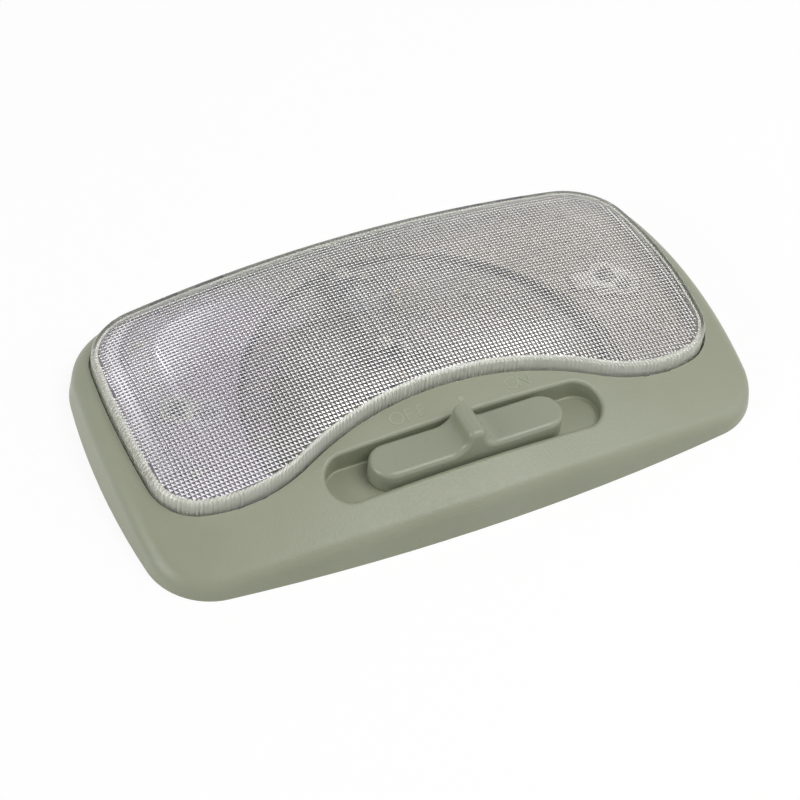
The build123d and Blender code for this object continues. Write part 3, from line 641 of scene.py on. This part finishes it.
def looked_at(tree):
    """1 where the eye, a reflection or a clear piece looks at a surface, and 0 where the surface lights."""
    path = node(tree, "ShaderNodeLightPath").outputs
    seen = node(tree, "ShaderNodeMath", {
        0: path["Is Camera Ray"], 1: path["Is Glossy Ray"],
    }, operation="MAXIMUM")
    seen = node(tree, "ShaderNodeMath", {
        0: seen.outputs["Value"], 1: path["Is Transmission Ray"],
    }, operation="MAXIMUM")
    return seen.outputs["Value"]


def white_floor():
    """White paper that stays white to the eye and keeps a soft shadow."""
    finish, tree = new_material("white_paper_floor")
    share = node(tree, "ShaderNodeMath", {0: looked_at(tree), 1: floor_glow_share}, operation="MULTIPLY")
    paper = node(tree, "ShaderNodeBsdfDiffuse", {"Color": srgb("#f4f4f2")})
    glow = node(tree, "ShaderNodeEmission", {"Color": srgb("#ffffff"), "Strength": floor_glow})
    mix = node(tree, "ShaderNodeMixShader", {0: share.outputs[0], 1: paper.outputs[0], 2: glow.outputs[0]})
    node(tree, "ShaderNodeOutputMaterial", {"Surface": mix.outputs[0]})
    return finish


def soft_studio():
    """A sky that lights softly, and is white to the eye, in reflections and through clear pieces."""
    world = bpy.data.worlds.new("soft_studio")
    world.use_nodes = True
    tree = world.node_tree
    tree.nodes.clear()
    sky = node(tree, "ShaderNodeBackground", {"Color": srgb("#f3f5f8"), "Strength": sky_strength})
    white = node(tree, "ShaderNodeBackground", {"Color": srgb("#ffffff"), "Strength": 1.0})
    mix = node(tree, "ShaderNodeMixShader", {0: looked_at(tree), 1: sky.outputs[0], 2: white.outputs[0]})
    node(tree, "ShaderNodeOutputWorld", {"Surface": mix.outputs[0]})
    return world


def soft_box(name, place, aim, size, power):
    """A rectangular lamp that points at a place on the object."""
    lamp = bpy.data.lights.new(name, "AREA")
    lamp.shape = "RECTANGLE"
    lamp.size, lamp.size_y = size
    lamp.energy = power
    obj = bpy.data.objects.new(name, lamp)
    obj.location = place
    obj.rotation_euler = (Vector(aim) - Vector(place)).to_track_quat("-Z", "Y").to_euler()
    scene.collection.objects.link(obj)


bpy.ops.object.select_all(action="DESELECT")
bpy.ops.mesh.primitive_plane_add(size=6, location=(0, 0, 0))
floor_sheet = bpy.context.object
floor_sheet.name = "floor"
floor_sheet.data.materials.append(white_floor())

bpy.ops.object.select_all(action="DESELECT")
bpy.ops.mesh.primitive_plane_add(size=1, location=(0, 0, shade_lift * MM))
bpy.ops.transform.resize(value=(shade_length * MM, shade_depth * MM, 1))
bpy.ops.object.transform_apply(location=True, rotation=True, scale=True)
shade_sheet = bpy.context.object
shade_sheet.name = "floor_shade"
# The sheet's grey is painted shade
shade_sheet.data.materials.append(plain_moulding("painted_shade_card", "#4a4a48", "#525250", 0.8))

scene.world = soft_studio()
soft_box("top_box", (0.26, -0.24, 0.72), (0, 0, 0), (0.5, 0.5), 3.2)
soft_box("left_box", (-0.8, -0.05, 0.32), (0, 0, 0.01), (0.5, 0.5), 2.6)
soft_box("right_box", (0.7, -0.3, 0.3), (0, 0, 0.01), (0.5, 0.5), 0.9)
soft_box("rear_box", (0.2, 0.8, 0.4), (0, 0, 0.01), (1.2, 0.6), 1.2)

# The camera looks down on the left front of the lamp, a little tilted; its angles are in radians
azimuth = -0.5356
elevation = 0.8452
roll = 0.1158
distance = 550.7 * MM
target = Vector((-7.79, -9.43, 9.6)) * MM
back = Vector((sin(azimuth) * cos(elevation), -cos(azimuth) * cos(elevation), sin(elevation)))
right = (-back).cross(Vector((0, 0, 1))).normalized()
up = right.cross(-back)
turned_right = cos(roll) * right + sin(roll) * up
turned_up = cos(roll) * up - sin(roll) * right
camera_turn = Matrix((turned_right, turned_up, back)).transposed().to_4x4()
camera = bpy.data.objects.new("camera", bpy.data.cameras.new("camera"))
camera.data.sensor_width = 36
camera.data.lens = 105.14
camera.data.clip_end = 20
camera.matrix_world = Matrix.Translation(target + back * distance) @ camera_turn
scene.collection.objects.link(camera)
scene.camera = camera
scene.view_settings.view_transform = "Standard"
